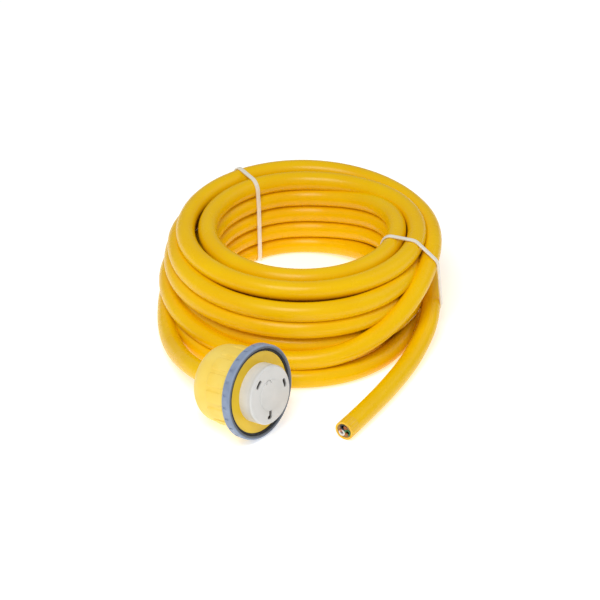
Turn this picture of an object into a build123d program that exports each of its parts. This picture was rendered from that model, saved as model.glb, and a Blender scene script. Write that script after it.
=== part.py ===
from build123d import *
import math
import os

# A 30 A shore power cord: a round three-core cable wound in a tied coil, with a locking
# connector and its sealing boot on one end and a flush cut on the other.
# Millimetres. +Z is up, and everything rests on z = 0. The connector's nose points along -Y,
# tipped up a little, and the origin is the middle of the connector's footprint.

# ---- driving dimensions -------------------------------------------------------------------

CABLE_RADIUS = 7.5          # 10 AWG, three cores, outdoor jacket
CORE_RADIUS = 2.6           # one insulated core
STRAND_RADIUS = 1.5         # the bare copper in a core
CORE_PITCH_RADIUS = 3.05    # core centres to cable centre

NOSE_TIP_UP = 10.5          # degrees that the connector's axis points up
RING_FRONT_Y = -18.7        # centre of the coupling ring's front face
RING_FRONT_Z = 36.6

RING_RADIUS = 36.0
RING_LENGTH = 7.2
RING_BORE_RADIUS = 32.9
RING_LIP_RADIUS = 30.1      # bore of the rear lip that keeps the ring on
RING_LIP_LENGTH = 1.4
RING_RIB_COUNT = 24

SEAL_INNER_RADIUS = 31.2
SEAL_OUTER_RADIUS = 32.6
SEAL_FRONT = -1.0
SEAL_BACK = -5.4

FLANGE_RADIUS = 30.9
FLANGE_FRONT = -1.5
FLANGE_BACK = -3.1
BODY_RADIUS = 26.8
BODY_BACK = -22.0

NOSE_RADIUS = 22.4
NOSE_FRONT = 9.5
NOSE_BACK = -6.0
NOSE_EDGE = 1.0
SHANK_RADIUS = 21.4         # the face's stepped back part, inside the body
HUB_RADIUS = 11.5
HUB_HEIGHT = 0.5
HUB_MARK_RADIUS = 2.6       # a shallow crescent moulded into the hub's top edge
HUB_MARK_UP = 9.4
HUB_MARK_DEPTH = 0.9

SLOT_RADIUS = 17.0          # centre line of the three blade slots
SLOT_WIDTH = 3.0
SLOT_SWEEPS = {"line": 15.0, "neutral": 15.0, "ground": 6.0}    # degrees from end to end
SLOT_SHIFTS = {"line": 0.0, "neutral": 0.0, "ground": 8.0}
SLOT_HOOK = 5.0             # the earth slot's leg towards the centre
POCKET_WIDTH = 5.8
POCKET_ANGLE = 32.0
CONTACT_ANGLE = 24.0
POCKET_FRONT = 6.5
POLE_ANGLES = {"line": 6.4, "neutral": 126.4, "ground": 246.4}
POLE_COLOURS = {"line": "black", "neutral": "white", "ground": "green"}

BOOT_RADIUS = 29.5
BOOT_WALL = 2.7
BOOT_SHOULDER = -34.0       # where the straight side turns into the dome
BOOT_BACK = -48.0
BOOT_NECK_RADIUS = 13.0
BOOT_NECK_BORE = 9.3
BOOT_LIP_BACK = -49.5
PANEL_COUNT = 14
PANEL_GROOVE = 1.1
PANEL_DEPTH = 0.9

COIL_HEIGHT = 74.5
COIL_LOWER_HEIGHT = 44.0
COIL_TURN = -51.5           # degrees from +X to the first half-axis of both tiers
COIL_LOWER_CENTRE = (151.1, 65.7)
COIL_LOWER_AXES = (113.0, 120.0)
COIL_UPPER_CENTRE = (160.4, 66.1)
COIL_UPPER_AXES = (107.5, 112.0)
COIL_HOLE_CENTRE = (159.3, 69.0)
COIL_HOLE_RADIUS = 65.5
COIL_EDGE = 7.0

TIE_WIDTH = 3.6
TIE_THICKNESS = 1.2
TIE_GAP = 0.4
TIE_ANGLES = {"tie_back": 71.0, "tie_side": -71.5}
TIE_ROOM = {"tie_back": 0.0, "tie_side": 4.6}   # the side tie goes round the tail as well

# The cable's route where it isn't coiled: from the jacket's end inside the connector to the
# coil, and from the coil to the cut.
LEAD_ROUTE = [
    (0.0, 5.9, 32.0),
    (0.0, 17.7, 29.9),
    (2.2, 34.9, 27.1),
    (9.3, 56.3, 22.3),
    (22.2, 79.4, 15.0),
    (37.9, 102.1, 9.6),
    (57.1, 123.3, 7.5),
    (78.2, 141.4, 7.5),
]
TAIL_ROUTE = [
    (202.5, -27.0, 24.5),
    (176.6, -43.6, 16.5),
    (152.0, -51.8, 10.4),
    (126.4, -58.4, 7.5),
    (94.0, -64.7, 7.5),
    (60.7, -69.1, 7.5),
    (31.8, -71.6, 7.5),
]
STUB_LENGTH = 10.0          # the last of the tail, made of its separate pieces
FILLER_RECESS = 0.5


# ---- helpers ------------------------------------------------------------------------------

def seat():
    """The connector's own frame: z out of the nose from the ring's front face, y up."""
    return Pos(0, RING_FRONT_Y, RING_FRONT_Z) * Rot(90 - NOSE_TIP_UP, 0, 0)


def turned(outline):
    """A solid of revolution about the connector's axis from (radius, distance) points."""
    points = [(radius, 0, along) for radius, along in outline]
    face = make_face(Polyline(points, close=True))
    return revolve(face, Axis.Z, 360)


def barrel(outer, inner, front, back):
    """A plain sleeve or, with an inner radius of 0, a plain disc."""
    return turned([(inner, front), (outer, front), (outer, back), (inner, back)])


def arc_bar(radius, width, sweep, angle, front, back):
    """A round-ended bar bent along the contact circle."""
    start = math.radians(angle - sweep / 2)
    middle = math.radians(angle)
    end = math.radians(angle + sweep / 2)
    spots = [(radius * math.cos(a), radius * math.sin(a)) for a in (start, middle, end)]
    line = ThreePointArc(*spots)
    bar = extrude(SlotArc(line, width), front - back)
    return Pos(0, 0, back) * bar


def route_tube(points, radius, name):
    """A tube along straight runs, joined by tangent arcs as large as the runs allow."""
    radii = []
    for before, here, after in zip(points, points[1:], points[2:]):
        run_in = Vector(*here) - Vector(*before)
        run_out = Vector(*after) - Vector(*here)
        turn = run_in.get_angle(run_out)
        shorter = min(run_in.length, run_out.length)
        radii.append(0.45 * shorter / math.tan(math.radians(turn) / 2))
    path = FilletPolyline(*points, radius=radii)
    section = Plane(origin=path @ 0, z_dir=path % 0) * Circle(radius)
    tube = sweep(section, path=path)
    expected = math.pi * radius ** 2 * path.length
    print(name, "length", round(path.length, 1), "volume ratio", round(tube.volume / expected, 4))
    print(name, "radii", [round(r) for r in radii])
    return tube


def save(shape, node):
    export_step(shape, f"parts/{node}.step")


def at_pole(angle, shape):
    return Rot(0, 0, angle) * shape


os.makedirs("parts", exist_ok=True)
connector = seat()
lead = route_tube(LEAD_ROUTE, CABLE_RADIUS, "lead")

# ---- coupling ring and its seal -----------------------------------------------------------

ring_back = -RING_LENGTH
lip_front = ring_back + RING_LIP_LENGTH
ring_edge = 0.9
ring = turned([
    (RING_BORE_RADIUS + ring_edge / 2, 0),
    (RING_RADIUS - ring_edge, 0),
    (RING_RADIUS, -ring_edge),
    (RING_RADIUS, ring_back + ring_edge),
    (RING_RADIUS - ring_edge, ring_back),
    (RING_LIP_RADIUS, ring_back),
    (RING_LIP_RADIUS, lip_front),
    (RING_BORE_RADIUS, lip_front),
    (RING_BORE_RADIUS, -ring_edge / 2),
])
grip_depth = 0.45
grip_width = 1.6
for index in range(RING_RIB_COUNT):
    notch = Pos(RING_RADIUS, 0, -RING_LENGTH / 2) * Box(2 * grip_depth, grip_width, RING_LENGTH - 4.2)
    ring -= Rot(0, 0, 360 / RING_RIB_COUNT * (index + 0.5)) * notch
save(connector * ring, "coupling_ring")
save(connector * barrel(SEAL_OUTER_RADIUS, SEAL_INNER_RADIUS, SEAL_FRONT, SEAL_BACK), "ring_gasket")

# ---- connector body, and the boot pulled over it ------------------------------------------

body = turned([
    (SHANK_RADIUS, FLANGE_FRONT),
    (FLANGE_RADIUS, FLANGE_FRONT),
    (FLANGE_RADIUS, FLANGE_BACK),
    (BODY_RADIUS, FLANGE_BACK),
    (BODY_RADIUS, BODY_BACK),
    (SHANK_RADIUS, BODY_BACK),
])
save(connector * body, "connector_body")


def dome(offset):
    """The boot's side and dome as a line and a quarter ellipse, drawn inwards by offset."""
    side = BOOT_RADIUS - offset
    rise = BOOT_RADIUS - BOOT_NECK_RADIUS
    depth = BOOT_SHOULDER - BOOT_BACK
    points = []
    for step in range(9):
        angle = math.radians(90 * step / 8)
        radius = side - rise * (1 - math.cos(angle))
        along = BOOT_SHOULDER - (depth - offset) * math.sin(angle)
        points.append((radius, along))
    return points


outer_dome = dome(0)
inner_dome = dome(BOOT_WALL)
boot_outline = [(BODY_RADIUS, FLANGE_BACK), (BOOT_RADIUS, FLANGE_BACK)]
boot_outline += outer_dome
boot_outline += [(BOOT_NECK_RADIUS - 1, BOOT_LIP_BACK), (BOOT_NECK_BORE, BOOT_LIP_BACK)]
boot_outline += [(BOOT_NECK_BORE, inner_dome[-1][1])]
boot_outline += inner_dome[::-1]
boot = turned(boot_outline)
panel_front = -13.0
panel_back = BOOT_SHOULDER + 3.0
groove_length = panel_front - panel_back
for index in range(PANEL_COUNT):
    groove = Box(2 * PANEL_DEPTH, PANEL_GROOVE, groove_length)
    groove = Pos(BOOT_RADIUS, 0, (panel_front + panel_back) / 2) * groove
    boot -= Rot(0, 0, 360 / PANEL_COUNT * (index + 0.5)) * groove
for along in (panel_front, panel_back):
    boot -= barrel(BOOT_RADIUS + 1, BOOT_RADIUS - PANEL_DEPTH, along + PANEL_GROOVE, along)
save(connector * boot, "boot")

grommet = turned([
    (CABLE_RADIUS - 2, inner_dome[-1][1] + 2.5),
    (BOOT_NECK_BORE + 2, inner_dome[-1][1] + 2.5),
    (BOOT_NECK_BORE + 2, inner_dome[-1][1] + 0.1),
    (BOOT_NECK_BORE, inner_dome[-1][1] + 0.1),
    (BOOT_NECK_BORE, BOOT_LIP_BACK),
    (CABLE_RADIUS - 2, BOOT_LIP_BACK),
])
save(connector * grommet - lead, "cable_grommet")

# ---- face, carrier and contacts -----------------------------------------------------------

SCREW_CIRCLE = 18.0
SCREW_RADIUS = 1.7
SCREW_HEAD_RADIUS = 3.2
SCREW_HEAD = 2.4
CARRIER_FRONT = -7.5
CARRIER_BACK = -19.0
REAR_DISC = 2.0
fixing_angles = [angle + 60 for angle in POLE_ANGLES.values()]

face = turned([
    (0, NOSE_FRONT),
    (NOSE_RADIUS - NOSE_EDGE, NOSE_FRONT),
    (NOSE_RADIUS, NOSE_FRONT - NOSE_EDGE),
    (NOSE_RADIUS, POCKET_FRONT),
    (0, POCKET_FRONT),
])
face += barrel(HUB_RADIUS, 0, NOSE_FRONT + HUB_HEIGHT, NOSE_FRONT - 1)
housing = turned([
    (0, POCKET_FRONT),
    (NOSE_RADIUS, POCKET_FRONT),
    (NOSE_RADIUS, FLANGE_FRONT),
    (SHANK_RADIUS, FLANGE_FRONT),
    (SHANK_RADIUS, NOSE_BACK),
    (0, NOSE_BACK),
])
for pole, angle in POLE_ANGLES.items():
    slot_angle = angle + SLOT_SHIFTS[pole]
    slot_front = NOSE_FRONT + 1
    face -= arc_bar(SLOT_RADIUS, SLOT_WIDTH, SLOT_SWEEPS[pole], slot_angle, slot_front, POCKET_FRONT - 1)
    housing -= arc_bar(SLOT_RADIUS, POCKET_WIDTH, POCKET_ANGLE, angle, POCKET_FRONT + 1, NOSE_BACK - 1)
hook_end = POLE_ANGLES["ground"] + SLOT_SHIFTS["ground"] + SLOT_SWEEPS["ground"] / 2
hook = Box(SLOT_HOOK, SLOT_WIDTH, slot_front - POCKET_FRONT + 1)
hook = Pos(SLOT_RADIUS - SLOT_HOOK / 2, 0, (slot_front + POCKET_FRONT - 1) / 2) * hook
face -= at_pole(hook_end, hook)
hub_front = NOSE_FRONT + HUB_HEIGHT
mark = arc_bar(HUB_MARK_RADIUS, 1.1, 170, 80, hub_front + 1, hub_front - HUB_MARK_DEPTH)
face -= Pos(0, HUB_MARK_UP, 0) * mark
save(connector * face, "face_insulator")
screw_tip = 3.0
for angle in fixing_angles:
    housing -= at_pole(angle, Pos(SCREW_CIRCLE, 0, 0) * barrel(SCREW_RADIUS, 0, screw_tip, NOSE_BACK - 1))
save(connector * housing, "face_housing")

BLOCK_IN = 4.6              # radial faces of the brass terminal block
BLOCK_OUT = 8.8
BLOCK_HALF = 4.5
BLOCK_BACK = -15.0
WIRE_OUT = 10.4             # the wire lies between block and plate, beside the screw
WIRE_ASIDE = 3.6
PLATE_IN = 12.0
PLATE_OUT = 13.4
HEAD_OUT = 15.6
TERMINAL_MIDDLE = (CARRIER_FRONT + BLOCK_BACK) / 2
TERMINAL_SCREW = 1.9

carrier = barrel(3.6, 0, CARRIER_FRONT, CARRIER_BACK)
carrier += barrel(SHANK_RADIUS - 0.2, 0, CARRIER_BACK + REAR_DISC, CARRIER_BACK)
for angle in fixing_angles:
    length = CARRIER_FRONT - CARRIER_BACK
    fin = Pos(11.4, 0, CARRIER_BACK + length / 2) * Box(18, 2.4, length)
    post = Pos(SCREW_CIRCLE, 0, 0) * barrel(3.2, 0, NOSE_BACK, CARRIER_BACK)
    carrier += at_pole(angle, fin + post)
for angle in fixing_angles:
    carrier -= at_pole(angle, Pos(SCREW_CIRCLE, 0, 0) * barrel(SCREW_RADIUS, 0, 0, CARRIER_BACK - 1))
for angle in POLE_ANGLES.values():
    for inwards in (0, 3.4):
        wire_hole = Pos(WIRE_OUT - inwards, WIRE_ASIDE * (1 - inwards / WIRE_OUT), 0)
        wire_hole = wire_hole * barrel(CORE_RADIUS + 0.5, 0, CARRIER_BACK + 3, CARRIER_BACK - 1)
        carrier -= at_pole(angle, wire_hole)
save(connector * carrier, "contact_carrier")

JACKET_END = -25.0
wall = 1.1
for index, (pole, angle) in enumerate(POLE_ANGLES.items()):
    inner_wall = SLOT_RADIUS - SLOT_WIDTH / 2 - wall / 2
    outer_wall = SLOT_RADIUS + SLOT_WIDTH / 2 + wall / 2
    contact = arc_bar(inner_wall, wall, CONTACT_ANGLE, 0, POCKET_FRONT - 0.5, NOSE_BACK)
    contact += arc_bar(outer_wall, wall, CONTACT_ANGLE, 0, POCKET_FRONT - 0.5, NOSE_BACK)
    strap_length = outer_wall + wall / 2 - BLOCK_IN
    strap_middle = BLOCK_IN + strap_length / 2
    strap_depth = NOSE_BACK - CARRIER_FRONT
    contact += Pos(strap_middle, 0, (NOSE_BACK + CARRIER_FRONT) / 2) * Box(strap_length, 6.0, strap_depth)
    block_size = Box(BLOCK_OUT - BLOCK_IN, 2 * BLOCK_HALF, CARRIER_FRONT - BLOCK_BACK)
    contact += Pos((BLOCK_IN + BLOCK_OUT) / 2, 0, TERMINAL_MIDDLE) * block_size
    shank = Rot(0, 90, 0) * Cylinder(TERMINAL_SCREW, 30)
    screw_axis = Pos(0, -1.2, TERMINAL_MIDDLE)
    contact -= screw_axis * Pos(20, 0, 0) * shank
    save(connector * at_pole(angle, contact), f"contact_{pole}")

    plate = Pos((PLATE_IN + PLATE_OUT) / 2, 0, TERMINAL_MIDDLE) * Box(PLATE_OUT - PLATE_IN, 10.0, 6.4)
    plate -= screw_axis * Pos(10, 0, 0) * shank
    save(connector * at_pole(angle, plate), f"clamp_plate_{pole}")

    screw_length = PLATE_OUT - BLOCK_IN - 1.5
    screw = Pos(PLATE_OUT - screw_length / 2, 0, 0) * Rot(0, 90, 0) * Cylinder(TERMINAL_SCREW, screw_length)
    head_length = HEAD_OUT - PLATE_OUT
    screw += Pos(PLATE_OUT + head_length / 2, 0, 0) * Rot(0, 90, 0) * Cylinder(3.1, head_length)
    screw -= Pos(HEAD_OUT, 0, 0) * Box(2.0, 7.0, 1.0)
    save(connector * at_pole(angle, screw_axis * screw), f"terminal_screw_{pole}")

    wire_radius = math.hypot(WIRE_OUT, WIRE_ASIDE)
    wire_angle = math.radians(angle) + math.atan2(WIRE_ASIDE, WIRE_OUT)
    way = (math.cos(wire_angle), math.sin(wire_angle))
    inside = (CORE_PITCH_RADIUS * way[0], CORE_PITCH_RADIUS * way[1])
    outside = (wire_radius * way[0], wire_radius * way[1])
    route = FilletPolyline(
        (*inside, JACKET_END),
        (*inside, JACKET_END + 2.0),
        (*outside, CARRIER_BACK + 1.0),
        (*outside, BLOCK_BACK - 0.2),
        radius=2.8,
    )
    core = sweep(Plane(origin=route @ 0, z_dir=route % 0) * Circle(CORE_RADIUS - 0.15), path=route)
    save(connector * core, f"conductor_{POLE_COLOURS[pole]}")
    bare = Pos(*outside, 0) * barrel(STRAND_RADIUS, 0, CARRIER_FRONT - 0.5, BLOCK_BACK - 0.2)
    if index == 0:
        bare_ends = [connector * bare]
    else:
        bare_ends.append(connector * bare)
save(Compound(children=bare_ends), "conductor_strands")

# ---- assembly screws and cord clamp -------------------------------------------------------

assembly_screws = []
for angle in fixing_angles:
    screw = barrel(SCREW_RADIUS, 0, screw_tip, CARRIER_BACK)
    screw += barrel(SCREW_HEAD_RADIUS, 0, CARRIER_BACK, CARRIER_BACK - SCREW_HEAD)
    assembly_screws.append(connector * at_pole(angle, Pos(SCREW_CIRCLE, 0, 0) * screw))
save(Compound(children=assembly_screws), "assembly_screws")

CLAMP_FRONT = -25.3
CLAMP_BACK = -30.9
CLAMP_HALF = 14.5
CLAMP_SPLIT = 0.6
CLAMP_SCREW_X = 11.2
UPPER_TOP = 11.4
LOWER_BOTTOM = -16.0
clamp_middle = (CLAMP_FRONT + CLAMP_BACK) / 2
clamp_length = CLAMP_FRONT - CLAMP_BACK
upper = Pos(0, (UPPER_TOP + CLAMP_SPLIT) / 2, clamp_middle)
upper = upper * Box(2 * CLAMP_HALF, UPPER_TOP - CLAMP_SPLIT, clamp_length)
lower = Pos(0, (LOWER_BOTTOM - CLAMP_SPLIT) / 2, clamp_middle)
lower = lower * Box(2 * CLAMP_HALF, -CLAMP_SPLIT - LOWER_BOTTOM, clamp_length)
web = Pos(0, LOWER_BOTTOM + 0.9, (CARRIER_BACK + CLAMP_FRONT) / 2)
lower += web * Box(14, 1.8, CARRIER_BACK - CLAMP_FRONT)
cable_hole = barrel(CABLE_RADIUS, 0, 0, -40)
upper -= cable_hole
lower -= cable_hole
clamp_screws = []
for side in (-1, 1):
    axis = Pos(side * CLAMP_SCREW_X, 0, clamp_middle) * Rot(-90, 0, 0)
    shank = Cylinder(SCREW_RADIUS, UPPER_TOP + 10, align=(Align.CENTER, Align.CENTER, Align.MAX))
    shank = axis * Pos(0, 0, UPPER_TOP) * shank
    head = Cylinder(SCREW_HEAD_RADIUS, SCREW_HEAD, align=(Align.CENTER, Align.CENTER, Align.MIN))
    head = axis * Pos(0, 0, UPPER_TOP) * head
    upper -= shank
    lower -= shank
    clamp_screws.append(connector * (shank + head))
save(connector * upper, "cord_clamp_upper")
save(connector * lower, "cord_clamp_lower")
save(Compound(children=clamp_screws), "cord_clamp_screws")

# ---- coil and ties ------------------------------------------------------------------------


def rounded_disc(centre, half_axes, height):
    disc = extrude(Ellipse(*half_axes), height)
    disc = fillet(disc.edges().filter_by(GeomType.ELLIPSE), COIL_EDGE)
    return Pos(centre[0], centre[1], 0) * Rot(0, 0, COIL_TURN) * disc


def reach(centre, half_axes, angle):
    """How far a tier's edge is from the hole's centre along an angle."""
    to_hole = Vector(COIL_HOLE_CENTRE[0] - centre[0], COIL_HOLE_CENTRE[1] - centre[1])
    to_hole = to_hole.rotate(Axis.Z, -COIL_TURN)
    way = Vector(1, 0).rotate(Axis.Z, math.degrees(angle) - COIL_TURN)
    squared = (way.X / half_axes[0]) ** 2 + (way.Y / half_axes[1]) ** 2
    mixed = to_hole.X * way.X / half_axes[0] ** 2 + to_hole.Y * way.Y / half_axes[1] ** 2
    inside = (to_hole.X / half_axes[0]) ** 2 + (to_hole.Y / half_axes[1]) ** 2 - 1
    return (-mixed + math.sqrt(mixed ** 2 - squared * inside)) / squared


def bend(middle_x, middle_z, start, count):
    """A tie's turn round one of the coil's edges, a little outside it."""
    points = []
    for step in range(count):
        angle = math.radians(start + 22.5 * step)
        away = COIL_EDGE + TIE_GAP
        points.append((middle_x + away * math.cos(angle), 0, middle_z + away * math.sin(angle)))
    return points


coil = rounded_disc(COIL_LOWER_CENTRE, COIL_LOWER_AXES, COIL_LOWER_HEIGHT)
coil += rounded_disc(COIL_UPPER_CENTRE, COIL_UPPER_AXES, COIL_HEIGHT)
hole = Cylinder(COIL_HOLE_RADIUS, 3 * COIL_HEIGHT)
coil -= Pos(COIL_HOLE_CENTRE[0], COIL_HOLE_CENTRE[1], 0) * hole

for node, degrees in TIE_ANGLES.items():
    angle = math.radians(degrees)
    lower_reach = reach(COIL_LOWER_CENTRE, COIL_LOWER_AXES, angle) + TIE_ROOM[node]
    upper_reach = reach(COIL_UPPER_CENTRE, COIL_UPPER_AXES, angle)
    gap = TIE_GAP
    start = COIL_HOLE_RADIUS - gap
    side = max(lower_reach, upper_reach) + gap
    floor = TIE_THICKNESS + 0.2
    top = COIL_HEIGHT + gap
    inner_points = [(start, 0, floor), (lower_reach - COIL_EDGE / 2, 0, floor)]
    inner_points += bend(lower_reach - COIL_EDGE, COIL_EDGE, -45, 3)
    inner_points += [(side, 0, COIL_LOWER_HEIGHT - COIL_EDGE / 2)]
    inner_points += bend(upper_reach - COIL_EDGE, COIL_HEIGHT - COIL_EDGE, 0, 5)
    inner_points += [(start, 0, top)]
    inner_face = make_face(Polyline(inner_points, close=True))
    outer_face = offset(inner_face, TIE_THICKNESS, kind=Kind.ARC)
    loop = extrude(outer_face - inner_face, TIE_WIDTH / 2, both=True)
    head = Box(4.4, 6.2, 5.4)
    if node == "tie_back":
        loop += Pos(side + 2.2, 0, 24) * head
    else:
        loop += Pos(start - 2.2, 0, 40) * head
    placed = Pos(COIL_HOLE_CENTRE[0], COIL_HOLE_CENTRE[1], 0) * Rot(0, 0, degrees) * loop
    save(placed, node)
    notch = Box(200, TIE_WIDTH + 1.4, 2 * floor + 0.8, align=(Align.MIN, Align.CENTER, Align.CENTER))
    coil -= Pos(COIL_HOLE_CENTRE[0], COIL_HOLE_CENTRE[1], 0) * Rot(0, 0, degrees) * notch
save(coil, "cable_coil")

# ---- lead, tail and the cut end -----------------------------------------------------------

save(lead, "cable_lead")
cut_point = Vector(*TAIL_ROUTE[-1])
way_out = (cut_point - Vector(*TAIL_ROUTE[-2])).normalized()
stub_start = cut_point - way_out * STUB_LENGTH
tail_points = TAIL_ROUTE[:-1] + [tuple(stub_start)]
save(route_tube(tail_points, CABLE_RADIUS, "tail"), "cable_tail")

stub = Plane(origin=stub_start, z_dir=way_out, x_dir=(0, 0, 1))
JACKET_WALL = 1.6
jacket = Circle(CABLE_RADIUS) - Circle(CABLE_RADIUS - JACKET_WALL)
save(stub * extrude(jacket, STUB_LENGTH), "end_jacket")
filler = Circle(CABLE_RADIUS - JACKET_WALL)
copper = []
for index, colour in enumerate(("black", "white", "green")):
    angle = 120 * index + 20
    centre = Rot(0, 0, angle) * Pos(CORE_PITCH_RADIUS, 0, 0)
    filler -= centre * Circle(CORE_RADIUS)
    core = centre * (Circle(CORE_RADIUS) - Circle(STRAND_RADIUS))
    save(stub * extrude(core, STUB_LENGTH), f"end_core_{colour}")
    copper.append(stub * extrude(centre * Circle(STRAND_RADIUS), STUB_LENGTH))
save(Compound(children=copper), "end_strands")
save(stub * extrude(filler, STUB_LENGTH - FILLER_RECESS), "end_filler")
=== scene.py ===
import bpy
import math
from mathutils import Matrix, Vector


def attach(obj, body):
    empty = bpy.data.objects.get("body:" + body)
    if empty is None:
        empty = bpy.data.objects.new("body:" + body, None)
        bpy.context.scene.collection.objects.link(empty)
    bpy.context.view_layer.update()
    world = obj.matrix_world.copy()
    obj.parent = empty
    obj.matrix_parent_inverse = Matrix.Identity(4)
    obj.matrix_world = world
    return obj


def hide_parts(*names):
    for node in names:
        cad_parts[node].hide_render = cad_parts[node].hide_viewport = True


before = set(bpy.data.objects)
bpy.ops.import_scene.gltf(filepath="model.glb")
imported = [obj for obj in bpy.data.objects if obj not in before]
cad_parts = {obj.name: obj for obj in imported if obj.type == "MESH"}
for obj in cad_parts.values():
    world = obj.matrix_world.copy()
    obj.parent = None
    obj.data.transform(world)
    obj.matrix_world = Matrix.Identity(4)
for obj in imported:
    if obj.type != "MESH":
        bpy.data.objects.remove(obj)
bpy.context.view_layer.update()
bpy.ops.object.select_all(action="DESELECT")

# ---- cable --------------------------------------------------------------------------------
# Three-core 10 AWG cable, 15 mm thick, in a jacket of extruded yellow vinyl. It lies in one
# piece from the cord clamp inside the connector, round the coil, to the flush cut. The coil
# was wound by hand, so each turn eases over to its next place in the stack.
CABLE_THICK = 0.0151
LEAD_ROUTE = [
    (0.0, 0.0059, 0.0320),
    (0.0, 0.0177, 0.0299),
    (0.0022, 0.0349, 0.0271),
    (0.0093, 0.0563, 0.0223),
    (0.0222, 0.0794, 0.0150),
    (0.0379, 0.1021, 0.0096),
    (0.0571, 0.1233, 0.0075),
    (0.0782, 0.1414, 0.0075),
]
TAIL_ROUTE = [
    (0.2025, -0.0270, 0.0245),
    (0.1766, -0.0436, 0.0165),
    (0.1520, -0.0518, 0.0104),
    (0.1264, -0.0584, 0.0075),
    (0.0940, -0.0647, 0.0075),
    (0.0607, -0.0691, 0.0075),
    (0.0318, -0.0716, 0.0075),
]
COIL_MIDDLE = Vector((0.1593, 0.0690))
COIL_TURN = math.radians(-51.5)
# Each turn's radius and height, in millimetres, at its right, front, left and back.
# The first row holds the lead's left and back alone, and the last the tail's right.
TURNS = [
    [None, None, (106.5, 7.5), (104, 7.5)],
    [(91.5, 7.5), (121, 7.5), (96.5, 11), (104, 22)],
    [(91, 22), (103.5, 26.9), (97, 27.5), (89.5, 37)],
    [(91, 36.5), (107, 43.5), (102.5, 41), (104, 52)],
    [(91, 51.5), (105.3, 57.2), (99.5, 55), (90, 52)],
    [(76.5, 22), (90, 22), (88.5, 22.5), (89.5, 22)],
    [(76.5, 7.5), (90, 7.5), (85, 7.5), (89, 7.5)],
    [(66, 7.5), (73, 7.5), (71, 7.5), (73.5, 7.5)],
    [(66, 22), (73, 22), (73, 22), (73.5, 22.5)],
    [(75, 37), (73, 37), (74, 37), (73.5, 37.4)],
    [(75, 52), (73, 52), (74.5, 52), (73.5, 52.4)],
    [(75, 67), (73, 67), (75, 67), (75, 66.5)],
    [(91, 67), (90.8, 67), (92.5, 66.5), (93, 67)],
    [(103, 61), (116.5, 20.5), (107, 23), (104, 37)],
    [(104, 25), None, None, None],
]
QUARTER_STEPS = 6
# In these quarters, counted from the lead's first, a turn bulges out to the one outside it.
BULGES = {3: 5.5, 6: 3.0, 18: 4.0, 22: 7.0}
quarters = [spot for turn in TURNS for spot in turn if spot]
coil_points = []
for quarter, (here, after) in enumerate(zip(quarters, quarters[1:])):
    for step in range(QUARTER_STEPS):
        along = step / QUARTER_STEPS
        ease = (1 - math.cos(math.pi * along)) / 2
        bulge = BULGES.get(quarter, 0) * math.sin(math.pi * along)
        radius = (here[0] + (after[0] - here[0]) * ease + bulge) / 1000
        height = (here[1] + (after[1] - here[1]) * ease) / 1000
        angle = COIL_TURN + math.pi - (quarter + along) * math.pi / 2
        x = COIL_MIDDLE.x + radius * math.cos(angle)
        y = COIL_MIDDLE.y + radius * math.sin(angle)
        coil_points.append(Vector((x, y, height)))
route = LEAD_ROUTE + coil_points + TAIL_ROUTE

curve = bpy.data.curves.new("cable", "CURVE")
curve.dimensions = "3D"
line = curve.splines.new("NURBS")
line.points.add(len(route) - 1)
for point, place in zip(line.points, route):
    point.co = (*place, 1)
line.order_u = 3
line.use_endpoint_u = True
curve.bevel_depth = CABLE_THICK / 2
curve.bevel_resolution = 7
curve.resolution_u = 6
cable = bpy.data.objects.new("cable", curve)
bpy.context.collection.objects.link(cable)


def shade(code):
    """An sRGB hex colour as the linear colour that sockets take."""
    parts = [int(code[start:start + 2], 16) / 255 for start in (1, 3, 5)]
    linear = [part / 12.92 if part <= 0.04045 else ((part + 0.055) / 1.055) ** 2.4 for part in parts]
    return (*linear, 1)


def add(finish, kind, inputs, **settings):
    """Adds a node with its settings, and links or sets its inputs."""
    tree = finish.node_tree
    node = tree.nodes.new("ShaderNode" + kind)
    for name, value in settings.items():
        setattr(node, name, value)
    for name, value in inputs.items():
        if isinstance(value, bpy.types.NodeSocket):
            tree.links.new(value, node.inputs[name])
        else:
            node.inputs[name].default_value = value
    return node


def start_finish(name, **sockets):
    """A new finish, its surface shader, and its object coordinates."""
    finish = bpy.data.materials.new(name)
    finish.use_nodes = True
    surface = finish.node_tree.nodes["Principled BSDF"]
    for socket, value in sockets.items():
        surface.inputs[socket.replace("_", " ")].default_value = value
    places = add(finish, "TexCoord", {}).outputs["Object"]
    return finish, surface, places


def mottle(finish, surface, places, colours, grain, bump_grain, bump_height):
    """Drifts the colour over a grain size and roughens the skin, both in metres; gives the colour's ramp."""
    drift = add(finish, "TexNoise", {"Vector": places, "Scale": 1 / grain, "Detail": 3.0})
    ramp = add(finish, "ValToRGB", {"Fac": drift.outputs["Fac"]})
    ramp.color_ramp.elements[0].position = 0.32
    ramp.color_ramp.elements[1].position = 0.68
    ramp.color_ramp.elements[0].color = shade(colours[0])
    ramp.color_ramp.elements[1].color = shade(colours[1])
    finish.node_tree.links.new(ramp.outputs["Color"], surface.inputs["Base Color"])
    skin = add(finish, "TexNoise", {"Vector": places, "Scale": 1 / bump_grain, "Detail": 2.0})
    bump = add(finish, "Bump", {"Height": skin.outputs["Fac"], "Distance": bump_height, "Strength": 0.5})
    finish.node_tree.links.new(bump.outputs["Normal"], surface.inputs["Normal"])
    return ramp


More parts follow.
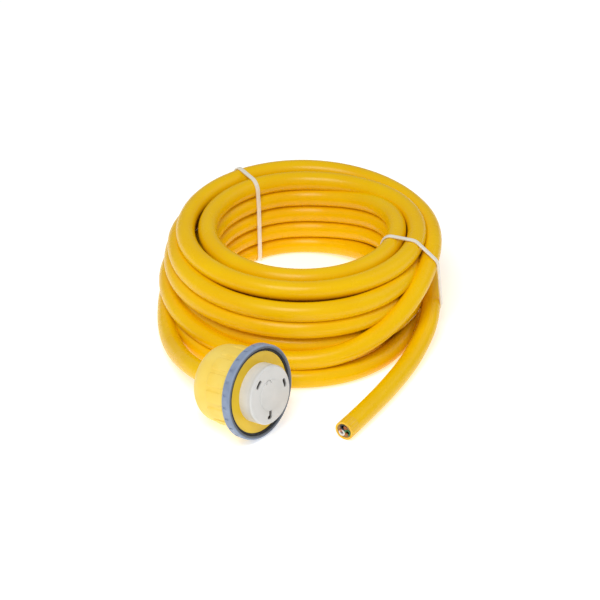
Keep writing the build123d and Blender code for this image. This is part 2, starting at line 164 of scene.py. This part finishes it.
# Extruded vinyl: a deep yellow all through, with a satin skin that the die left faintly
# uneven, so its highlights are long and soft-edged. Handling dulls it in patches.
jacket, surface, places = start_finish("extruded_yellow_vinyl", IOR=1.53)
surface.inputs["Specular IOR Level"].default_value = 0.2
mottle(jacket, surface, places, ("#F5C000", "#F8C800"), 0.035, 0.0022, 0.00012)
scuffs = add(jacket, "TexNoise", {"Vector": places, "Scale": 60.0, "Detail": 4.0})
dulling = add(jacket, "MapRange", {"Value": scuffs.outputs["Fac"], "From Min": 0.35, "From Max": 0.7,
                                   "To Min": 0.22, "To Max": 0.34})
jacket.node_tree.links.new(dulling.outputs["Result"], surface.inputs["Roughness"])
cable.data.materials.append(jacket)
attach(cable, "cord")
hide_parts("cable_lead", "cable_coil", "cable_tail")

# ---- cores and copper ---------------------------------------------------------------------
# Black, white and green vinyl-insulated cores, laid together in the jacket and fanned out to
# the three terminals. At the cut they end flush, with their copper showing.


def dress(finish, *nodes):
    """Gives carried-over pieces a finish."""
    for node in nodes:
        for place in bpy.data.objects[node].material_slots:
            place.material = finish


black_core, surface, places = start_finish("black_core_vinyl", Roughness=0.38, IOR=1.53)
mottle(black_core, surface, places, ("#141416", "#1E1E20"), 0.004, 0.0006, 0.00004)
dress(black_core, "conductor_black", "end_core_black")
white_core, surface, places = start_finish("white_core_vinyl", Roughness=0.38, IOR=1.53)
mottle(white_core, surface, places, ("#E2E0D8", "#EFEDE6"), 0.004, 0.0006, 0.00004)
dress(white_core, "conductor_white", "end_core_white")
green_core, surface, places = start_finish("green_core_vinyl", Roughness=0.38, IOR=1.53)
mottle(green_core, surface, places, ("#11672F", "#1A7A3A"), 0.004, 0.0006, 0.00004)
dress(green_core, "conductor_green", "end_core_green")

# Bare soft-drawn copper: warm and bright where freshly cut, browner where it has aired.
copper, surface, places = start_finish("bare_copper", Metallic=1.0, Roughness=0.3)
mottle(copper, surface, places, ("#B4622F", "#D98A58"), 0.0012, 0.0004, 0.00005)
dress(copper, "conductor_strands", "end_strands")

# Each core's copper at the cut is a bundle of fine round wires, one in the middle and two
# rings about it, sheared off with the rest.
CUT_PLACE = Vector(TAIL_ROUTE[-1])
CUT_WAY = (CUT_PLACE - Vector(TAIL_ROUTE[-2])).normalized()
WIRE_RADIUS = 0.00029
WIRE_DOME = 0.00008
WIRE_RINGS = ((6, 0.0006), (12, 0.00119))   # how many wires, and how far from the bundle's middle
BUNDLE_LENGTH = 0.0100
CORE_PITCH = 0.00305
CORE_TURN = math.radians(20)
sideways = Vector((0, 0, 1)).cross(CUT_WAY)
stub_place = Matrix((Vector((0, 0, 1)), sideways, CUT_WAY)).transposed().to_4x4()
stub_place.translation = CUT_PLACE - CUT_WAY * BUNDLE_LENGTH
bpy.ops.mesh.primitive_cylinder_add(vertices=10, radius=WIRE_RADIUS, depth=BUNDLE_LENGTH)
wire = bpy.context.object
wire.data.transform(Matrix.Translation((0, 0, BUNDLE_LENGTH / 2)))
bpy.ops.object.mode_set(mode="EDIT")
bpy.ops.mesh.select_all(action="DESELECT")
bpy.ops.object.mode_set(mode="OBJECT")
for face in wire.data.polygons:
    face.select = face.normal.z > 0.9
bpy.ops.object.mode_set(mode="EDIT")
bpy.ops.mesh.inset(thickness=WIRE_RADIUS * 0.35)
bpy.ops.transform.translate(value=(0, 0, WIRE_DOME))
bpy.ops.object.mode_set(mode="OBJECT")
wires = []
spots = [(0, 0)]
for count, ring_radius in WIRE_RINGS:
    for index in range(count):
        turn = 2 * math.pi * index / count
        spots.append((ring_radius * math.cos(turn), ring_radius * math.sin(turn)))
for index in range(3):
    core_turn = math.radians(120 * index) + CORE_TURN
    middle = Vector((CORE_PITCH * math.cos(core_turn), CORE_PITCH * math.sin(core_turn), 0))
    for spot in spots:
        copy = bpy.data.objects.new("wire", wire.data.copy())
        bpy.context.collection.objects.link(copy)
        copy.data.transform(Matrix.Translation(middle + Vector((*spot, 0))))
        wires.append(copy)
bpy.ops.object.select_all(action="DESELECT")
for copy in wires:
    copy.select_set(True)
bpy.context.view_layer.objects.active = wires[0]
bpy.ops.object.join()
strands = bpy.context.object
strands.name = "cut_strands"
bpy.data.objects.remove(wire)
strands.data.transform(stub_place)
strands.data.materials.append(copper)
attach(strands, "cord")
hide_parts("end_strands")

# Twisted kraft paper fills the jacket round the cores: dull brown, with a coarse fibre.
paper, surface, places = start_finish("kraft_paper_filler", Roughness=0.9)
mottle(paper, surface, places, ("#8A6B45", "#B99767"), 0.0011, 0.0004, 0.0003)
dress(paper, "end_filler")

# The cut face of the jacket is matt and a shade paler than its skin.
cut_jacket, surface, places = start_finish("cut_yellow_vinyl", Roughness=0.55, IOR=1.53)
mottle(cut_jacket, surface, places, ("#EDB40A", "#F6C62A"), 0.003, 0.0005, 0.00008)
dress(cut_jacket, "end_jacket")

# ---- contacts and terminals ---------------------------------------------------------------
# Stamped brass contacts stand in the nose, each ending in a terminal block where a plate and
# a screw grip its wire. The screws are brass, nickel and green, to tell the poles apart.
brass, surface, places = start_finish("stamped_brass", Metallic=1.0, Roughness=0.32)
mottle(brass, surface, places, ("#B8924A", "#D0AC62"), 0.003, 0.0007, 0.00004)
dress(brass, "contact_line", "contact_neutral", "contact_ground", "terminal_screw_line")
nickel, surface, places = start_finish("bright_nickel_plate", Metallic=1.0, Roughness=0.2)
mottle(nickel, surface, places, ("#C9C6BF", "#DDDAD2"), 0.003, 0.0006, 0.00003)
dress(nickel, "terminal_screw_neutral")
green_dip, surface, places = start_finish("green_lacquered_steel", Metallic=0.3, Roughness=0.3)
surface.inputs["Coat Weight"].default_value = 0.5
mottle(green_dip, surface, places, ("#1B6B34", "#27824A"), 0.003, 0.0006, 0.00003)
dress(green_dip, "terminal_screw_ground")
# Zinc on steel: a cool grey with a fine crystal cloud in it.
zinc, surface, places = start_finish("zinc_plated_steel", Metallic=1.0, Roughness=0.36)
mottle(zinc, surface, places, ("#A9ACAE", "#C6C8C8"), 0.0025, 0.0006, 0.00004)
dress(zinc, "clamp_plate_line", "clamp_plate_neutral", "clamp_plate_ground", "assembly_screws",
      "cord_clamp_screws")

# ---- carrier, housing and cord clamp ------------------------------------------------------
# Injection-moulded white nylon, a little milky, satin from the mould. The carrier spaces the
# terminals, and the two clamp halves are screwed together over the cable's jacket.
nylon, surface, places = start_finish("moulded_white_nylon", Roughness=0.36, IOR=1.53)
mottle(nylon, surface, places, ("#DCDBD8", "#E4E3E0"), 0.012, 0.0009, 0.00003)
dress(nylon, "contact_carrier", "cord_clamp_upper", "cord_clamp_lower", "face_housing")

# ---- face ---------------------------------------------------------------------------------
# The nose's front, the same nylon, with a raised hub and three curved slots for the locking
# blades. The slots' walls are painted dark brown behind the face's front, as painted shade.
NOSE_TIP_UP = math.radians(10.5)
RING_FRONT = Vector((0, -0.0187, 0.0366))
FACE_FRONT = 0.0095
# The slot walls' painted shade: where it starts behind the face's front, and how deep it runs to full dark.
SLOT_SHADE_FROM = 0.0003     # how far behind the face's front a slot's wall starts to darken
SLOT_SHADE_BY = 0.0022
FACE_SIDE = 0.0205
nose_way = Vector((0, -math.cos(NOSE_TIP_UP), math.sin(NOSE_TIP_UP)))
seat = Matrix.Translation(RING_FRONT) @ Matrix.Rotation(math.pi / 2 - NOSE_TIP_UP, 4, "X")
face_nylon, surface, places = start_finish("moulded_white_nylon_face", Roughness=0.3, IOR=1.53)
ramp = mottle(face_nylon, surface, places, ("#D6D6D3", "#DEDDDA"), 0.012, 0.0009, 0.00003)


def nose_measures(finish, places):
    """The distance out of the nose from the ring's front, and the distance from its axis."""
    from_ring = add(finish, "VectorMath", {0: places, 1: RING_FRONT}, operation="SUBTRACT")
    out = add(finish, "VectorMath", {0: from_ring.outputs["Vector"], 1: nose_way}, operation="DOT_PRODUCT")
    turned = add(finish, "VectorMath", {0: from_ring.outputs["Vector"], 1: nose_way},
                 operation="CROSS_PRODUCT")
    off = add(finish, "VectorMath", {0: turned.outputs["Vector"]}, operation="LENGTH")
    return out.outputs["Value"], off.outputs["Value"]


out, off = nose_measures(face_nylon, places)
face_depth = add(face_nylon, "MapRange", {"Value": out, "From Min": FACE_FRONT - SLOT_SHADE_BY,
                                          "From Max": FACE_FRONT - SLOT_SHADE_FROM})
outer_side = add(face_nylon, "MapRange", {"Value": off, "From Min": FACE_SIDE - 0.0002,
                                          "From Max": FACE_SIDE + 0.0002})
lit = add(face_nylon, "Math", {0: face_depth.outputs["Result"], 1: outer_side.outputs["Result"]},
          operation="MAXIMUM")
# Painted shade: slot walls behind the face's front and inside FACE_SIDE turn dark brown.
inside = add(face_nylon, "Mix", {"Factor": lit.outputs["Value"], "A": shade("#3A2A20"),
                                 "B": ramp.outputs["Color"]}, data_type="RGBA")
face_nylon.node_tree.links.new(inside.outputs["Result"], surface.inputs["Base Color"])
dress(face_nylon, "face_insulator")

# ---- connector body -----------------------------------------------------------------------
# A glossy yellow nylon sleeve with a flange, which shows as the yellow band round the nose.
body_nylon, surface, places = start_finish("moulded_yellow_nylon", Roughness=0.3, IOR=1.53)
mottle(body_nylon, surface, places, ("#E9BE00", "#EFC806"), 0.015, 0.0012, 0.00005)
dress(body_nylon, "connector_body")

# ---- seal and cable grommet ---------------------------------------------------------------
# Black moulded rubber, matt, with a little bloom on it.
rubber, surface, places = start_finish("black_moulded_rubber", Roughness=0.72)
mottle(rubber, surface, places, ("#1C1E21", "#2A2D31"), 0.004, 0.0007, 0.00006)
dress(rubber, "ring_gasket", "cable_grommet")

# ---- coupling ring ------------------------------------------------------------------------
# Blue-grey nylon with shallow grip notches; it turns on the flange and draws the connector up
# to its inlet. Its bore and the inner edge of its front lip are painted darker, as painted shade.
LIP_OUTSIDE = 0.0352
LIP_INSIDE = 0.0342
ring_nylon, surface, places = start_finish("moulded_blue_grey_nylon", Roughness=0.42, IOR=1.53)
ramp = mottle(ring_nylon, surface, places, ("#8493AE", "#92A2BC"), 0.01, 0.0009, 0.00007)
out, off = nose_measures(ring_nylon, places)
# Inside LIP_INSIDE from the axis the colour turns dark grey-blue: painted shade on the bore.
lip = add(ring_nylon, "MapRange", {"Value": off, "From Min": LIP_OUTSIDE, "From Max": LIP_INSIDE})
bore_shade_colour = add(ring_nylon, "Mix", {"Factor": lip.outputs["Result"], "A": ramp.outputs["Color"],
                                     "B": shade("#565E6B")}, data_type="RGBA")
ring_nylon.node_tree.links.new(bore_shade_colour.outputs["Result"], surface.inputs["Base Color"])
dress(ring_nylon, "coupling_ring")

# ---- boot ---------------------------------------------------------------------------------
# A soft yellow vinyl cover, dip-moulded, pulled over the body and closed round the cable. Its
# side has fourteen raised grip pads, and its back is a dome that narrows to a neck.
BOOT_RADIUS = 0.0295
BODY_RADIUS = 0.0268
PADS = 14
PAD_SEGMENTS = 6
PAD_RAISE = 0.0008
PAD_FRONT = -0.0105
PAD_BACK = -0.0285
RIM_FRONT = -0.0031
RIM_EASE = 0.0004
DOME_FRONT = -0.0340
DOME_DEPTH = 0.0140
DOME_STEPS = 7
NECK_RADIUS = 0.0130
# Each corner of the wall's section: distance from the axis, and place along it. It runs from
# the rim back along the outside, over the dome, and forward again inside.
boot_profile = [(BODY_RADIUS, RIM_FRONT), (BOOT_RADIUS - RIM_EASE, RIM_FRONT), (BOOT_RADIUS, -0.0036)]
boot_profile += [(BOOT_RADIUS, -0.0078), (BOOT_RADIUS, PAD_FRONT), (BOOT_RADIUS, -0.0165)]
boot_profile += [(BOOT_RADIUS, -0.0225), (BOOT_RADIUS, PAD_BACK), (BOOT_RADIUS, -0.0312)]
for step in range(DOME_STEPS + 1):
    swing = math.radians(90 * step / DOME_STEPS)
    dome_radius = BOOT_RADIUS - (BOOT_RADIUS - NECK_RADIUS) * (1 - math.cos(swing))
    boot_profile.append((dome_radius, DOME_FRONT - DOME_DEPTH * math.sin(swing)))
boot_profile += [(0.0118, -0.0487), (0.0112, -0.0495), (0.0093, -0.0495), (0.0093, -0.0455)]
boot_profile += [(0.0200, -0.0440), (0.0255, -0.0380), (BODY_RADIUS, -0.0320)]
bpy.ops.object.select_all(action="DESELECT")
bpy.ops.mesh.primitive_circle_add(vertices=PADS * PAD_SEGMENTS, radius=boot_profile[0][0],
                                  location=(0, 0, boot_profile[0][1]), fill_type="NOTHING")
boot = bpy.context.object
boot.name = "boot_cover"
bpy.ops.object.transform_apply(location=True, rotation=False, scale=False)
bpy.ops.object.mode_set(mode="EDIT")
bpy.ops.mesh.select_all(action="SELECT")
for (radius, along), (next_radius, next_along) in zip(boot_profile, boot_profile[1:]):
    bpy.ops.mesh.extrude_edges_move(TRANSFORM_OT_translate={"value": (0, 0, next_along - along)})
    scale = next_radius / radius
    bpy.ops.transform.resize(value=(scale, scale, 1), center_override=(0, 0, next_along))
bpy.ops.object.mode_set(mode="OBJECT")
first_along, last_along = boot_profile[0][1], boot_profile[-1][1]
for edge in boot.data.edges:
    ends = [boot.data.vertices[corner].co for corner in edge.vertices]
    inner = all(math.hypot(end.x, end.y) < BODY_RADIUS + 0.00005 for end in ends)
    level = abs(ends[0].z - ends[1].z) < 1e-6
    edge.select = inner and level and min(abs(ends[0].z - first_along), abs(ends[0].z - last_along)) < 1e-5
for corner in boot.data.vertices:
    corner.select = False
for edge in boot.data.edges:
    if edge.select:
        for corner in edge.vertices:
            boot.data.vertices[corner].select = True
bpy.ops.object.mode_set(mode="EDIT")
bpy.ops.mesh.select_mode(type="EDGE")
bpy.ops.mesh.bridge_edge_loops()
bpy.ops.mesh.select_all(action="SELECT")
bpy.ops.mesh.normals_make_consistent(inside=False)
bpy.ops.mesh.select_mode(type="FACE")
bpy.ops.mesh.select_all(action="DESELECT")
bpy.ops.object.mode_set(mode="OBJECT")
segment = 2 * math.pi / (PADS * PAD_SEGMENTS)
for face in boot.data.polygons:
    centre = face.center
    far_out = math.hypot(centre.x, centre.y) > BOOT_RADIUS - RIM_EASE
    on_side = PAD_BACK < centre.z < PAD_FRONT
    number = int((math.atan2(centre.y, centre.x) % (2 * math.pi)) / segment)
    face.select = far_out and on_side and number % PAD_SEGMENTS != 0
bpy.ops.object.mode_set(mode="EDIT")
bpy.ops.mesh.inset(thickness=0.00045, depth=0, use_even_offset=True)
bpy.ops.mesh.inset(thickness=0.00035, depth=PAD_RAISE, use_even_offset=True)
bpy.ops.mesh.inset(thickness=0.0006, depth=0.0001, use_even_offset=True)
bpy.ops.object.mode_set(mode="OBJECT")
softening = boot.modifiers.new("softening", "SUBSURF")
softening.levels = 1
softening.render_levels = 1
bpy.ops.object.modifier_apply(modifier=softening.name)
bpy.ops.object.shade_smooth()
boot.data.transform(seat)
# Dip-moulded vinyl: paler than the cable's jacket and satin, with a faint orange peel.
boot_vinyl, surface, places = start_finish("dipped_yellow_vinyl", Roughness=0.45, IOR=1.53)
surface.inputs["Specular IOR Level"].default_value = 0.3
mottle(boot_vinyl, surface, places, ("#FBD658", "#FDDE6C"), 0.014, 0.0012, 0.00012)
boot.data.materials.append(boot_vinyl)
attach(boot, "cord")
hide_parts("boot")

# ---- ties ---------------------------------------------------------------------------------
# Two natural nylon cable ties, pulled tight round every turn of the coil and trimmed at the
# head. Each lies taut on the turns, so its loop is the outline stretched round them.
TIE_WIDTH = 0.0034
TIE_THICK = 0.0012
TIE_CLEAR = 0.0003
TIE_HEAD = (0.0046, 0.0054, 0.0064)
TIE_STUB_LENGTH = 0.0080
LOOP_STEPS = 24
# Each tie's angle round the coil, its head's height, and 1 for a head outside the coil or -1
# for one inside.
TIES = {"tie_back": (71.0, 0.024, 1), "tie_side": (-71.5, 0.040, -1)}
tie_nylon, surface, places = start_finish("natural_nylon", Roughness=0.34, IOR=1.53)
surface.inputs["Subsurface Weight"].default_value = 0.15
surface.inputs["Subsurface Radius"].default_value = (0.002, 0.002, 0.0018)
mottle(tie_nylon, surface, places, ("#EFE9D8", "#F6F1E4"), 0.006, 0.0008, 0.00006)


def crossings(degrees):
    """Where the cable passes a half-plane through the coil's middle, as radius and height."""
    way = Vector((math.cos(math.radians(degrees)), math.sin(math.radians(degrees))))
    aside = Vector((-way.y, way.x))
    found = []
    places = [Vector(place) for place in LEAD_ROUTE] + coil_points + [Vector(place) for place in TAIL_ROUTE]
    for here, after in zip(places, places[1:]):
        start, end = here.xy - COIL_MIDDLE, after.xy - COIL_MIDDLE
        one, two = start.dot(aside), end.dot(aside)
        if one * two <= 0 and one != two and start.dot(way) > 0:
            part = one / (one - two)
            spot = here.lerp(after, part)
            found.append(((spot.xy - COIL_MIDDLE).dot(way), spot.z))
    return found


def stretched_round(points):
    """The outline of the points, counter-clockwise, with nothing hollow in it."""
    ordered = sorted(set(points))
    outline = []
    for run in (ordered, ordered[::-1]):
        part = []
        for x, z in run:
            while len(part) > 1 and (part[-1][0] - part[-2][0]) * (z - part[-2][1]) <= \
                    (part[-1][1] - part[-2][1]) * (x - part[-2][0]):
                part.pop()
            part.append((x, z))
        outline += part[:-1]
    return outline


for tie_name, (degrees, head_height, side) in TIES.items():
    around = []
    reach = CABLE_THICK / 2 + TIE_CLEAR
    for radius, height in crossings(degrees):
        for step in range(LOOP_STEPS):
            swing = 2 * math.pi * step / LOOP_STEPS
            z = max(height + reach * math.sin(swing), TIE_THICK + 0.0001)
            around.append((round(radius + reach * math.cos(swing), 6), round(z, 6)))
    outline = stretched_round(around)
    loop = bpy.data.curves.new(tie_name, "CURVE")
    loop.dimensions = "2D"
    strap_line = loop.splines.new("POLY")
    strap_line.points.add(len(outline) - 1)
    for point, (x, z) in zip(strap_line.points, outline):
        point.co = (x, z, 0, 1)
    strap_line.use_cyclic_u = True
    loop.fill_mode = "NONE"
    loop.extrude = TIE_WIDTH / 2
    bpy.ops.object.select_all(action="DESELECT")
    tie = bpy.data.objects.new(tie_name + "_strap", loop)
    bpy.context.collection.objects.link(tie)
    tie.select_set(True)
    bpy.context.view_layer.objects.active = tie
    bpy.ops.object.convert(target="MESH")
    tie = bpy.context.object
    bpy.ops.object.mode_set(mode="EDIT")
    bpy.ops.mesh.select_all(action="SELECT")
    bpy.ops.mesh.remove_doubles(threshold=0.00001)
    bpy.ops.mesh.normals_make_consistent(inside=False)
    bpy.ops.object.mode_set(mode="OBJECT")
    wall = tie.modifiers.new("wall", "SOLIDIFY")
    wall.thickness = TIE_THICK
    wall.offset = 1
    bpy.ops.object.modifier_apply(modifier=wall.name)
    edges = tie.modifiers.new("edges", "BEVEL")
    edges.width = 0.00025
    edges.segments = 2
    edges.limit_method = "ANGLE"
    edges.angle_limit = math.radians(60)
    bpy.ops.object.modifier_apply(modifier=edges.name)
    # The head is a small block with the strap's trimmed end standing out of its slot.
    edge_radius = (max if side > 0 else min)(x for x, z in outline)
    bpy.ops.object.select_all(action="DESELECT")
    bpy.ops.mesh.primitive_cube_add(size=1)
    head = bpy.context.object
    head.data.transform(Matrix.Diagonal((*TIE_HEAD, 1)))
    for face in head.data.polygons:
        face.select = abs(face.normal.y) > 0.9
    bpy.ops.object.mode_set(mode="EDIT")
    bpy.ops.mesh.select_mode(type="FACE")
    bpy.ops.mesh.inset(thickness=0.0009, use_individual=True)
    bpy.ops.mesh.inset(thickness=0.0001, depth=-0.0012, use_individual=True)
    bpy.ops.object.mode_set(mode="OBJECT")
    corners = head.modifiers.new("corners", "BEVEL")
    corners.width = 0.0004
    corners.segments = 3
    bpy.ops.object.modifier_apply(modifier=corners.name)
    head.data.transform(Matrix.Translation((edge_radius + side * 0.0026, head_height, 0)))
    bpy.ops.mesh.primitive_cube_add(size=1)
    stub = bpy.context.object
    stub.data.transform(Matrix.Diagonal((TIE_THICK, TIE_STUB_LENGTH, TIE_WIDTH * 0.8, 1)))
    trim = stub.modifiers.new("trim", "BEVEL")
    trim.width = 0.0002
    trim.segments = 2
    bpy.ops.object.modifier_apply(modifier=trim.name)
    stub.data.transform(Matrix.Translation((edge_radius + side * 0.0030, head_height - 0.0012, 0)))
    bpy.ops.object.select_all(action="DESELECT")
    for piece in (tie, head, stub):
        piece.select_set(True)
    bpy.context.view_layer.objects.active = tie
    bpy.ops.object.join()
    turn = math.radians(degrees)
    plane = Matrix(((math.cos(turn), 0, math.sin(turn), COIL_MIDDLE.x),
                    (math.sin(turn), 0, -math.cos(turn), COIL_MIDDLE.y),
                    (0, 1, 0, 0), (0, 0, 0, 1)))
    tie.data.transform(plane)
    tie.data.materials.clear()
    tie.data.materials.append(tie_nylon)
    bpy.ops.object.shade_smooth_by_angle(angle=math.radians(35))
    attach(tie, "cord")
    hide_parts(tie_name)

# ---- floor and light ----------------------------------------------------------------------
# A plain white floor under an even white surround, with one large soft lamp high on the
# camera's side, a little to its left, and a weaker one on its right.
bpy.ops.object.select_all(action="DESELECT")
bpy.ops.mesh.primitive_plane_add(size=8, location=(0.15, 0.05, 0))
floor = bpy.context.object
floor.name = "floor"
paper_floor, surface = start_finish("matt_white_floor", Roughness=0.95)[:2]
surface.inputs["Base Color"].default_value = shade("#FAFAFA")
surface.inputs["Specular IOR Level"].default_value = 0.1
surface.inputs["Emission Color"].default_value = shade("#FFFFFF")
surface.inputs["Emission Strength"].default_value = 0.45
floor.data.materials.append(paper_floor)
world = bpy.data.worlds.new("studio")
bpy.context.scene.world = world
world.use_nodes = True
world.node_tree.nodes["Background"].inputs["Color"].default_value = (1, 1, 1, 1)
world.node_tree.nodes["Background"].inputs["Strength"].default_value = 0.38
LAMP_AIM = Vector((0.12, 0.05, 0.03))
# Each lamp's place, the length of its side in metres, and its power in watts.
LAMPS = {"key_lamp": ((-0.55, -0.2, 1.15), 0.6, 9.0), "fill_lamp": ((0.85, -0.45, 0.9), 0.8, 1.5)}
for lamp_name, (spot, size, power) in LAMPS.items():
    bpy.ops.object.light_add(type="AREA", location=spot)
    lamp = bpy.context.object
    lamp.name = lamp_name
    lamp.data.size = size
    lamp.data.energy = power
    lamp.rotation_euler = (LAMP_AIM - Vector(spot)).to_track_quat("-Z", "Y").to_euler()
bpy.context.scene.view_settings.view_transform = "Standard"

# ---- camera -------------------------------------------------------------------------------
# A long lens looking down on the coil from the open side, so that near and far turns keep
# almost the same thickness.
LOOK_TURN = math.radians(51.5)      # the view's own right-hand direction, turned from +X
LOOK_DOWN = math.radians(33.4)
LOOK_FAR = 2.0
LOOK_LENS = 150.6
look_at = Vector((0.1520, 0.0654, 0.0048))
ahead = Vector((math.sin(LOOK_TURN), math.cos(LOOK_TURN), 0)) * math.cos(LOOK_DOWN)
ahead.z = -math.sin(LOOK_DOWN)
bpy.ops.object.camera_add(location=look_at - ahead * LOOK_FAR)
camera = bpy.context.object
camera.name = "camera"
camera.rotation_euler = (math.radians(90) - LOOK_DOWN, 0, -LOOK_TURN)
camera.data.lens = LOOK_LENS
camera.data.sensor_width = 36
camera.data.clip_end = 20
bpy.context.scene.camera = camera

bpy.context.view_layer.update()
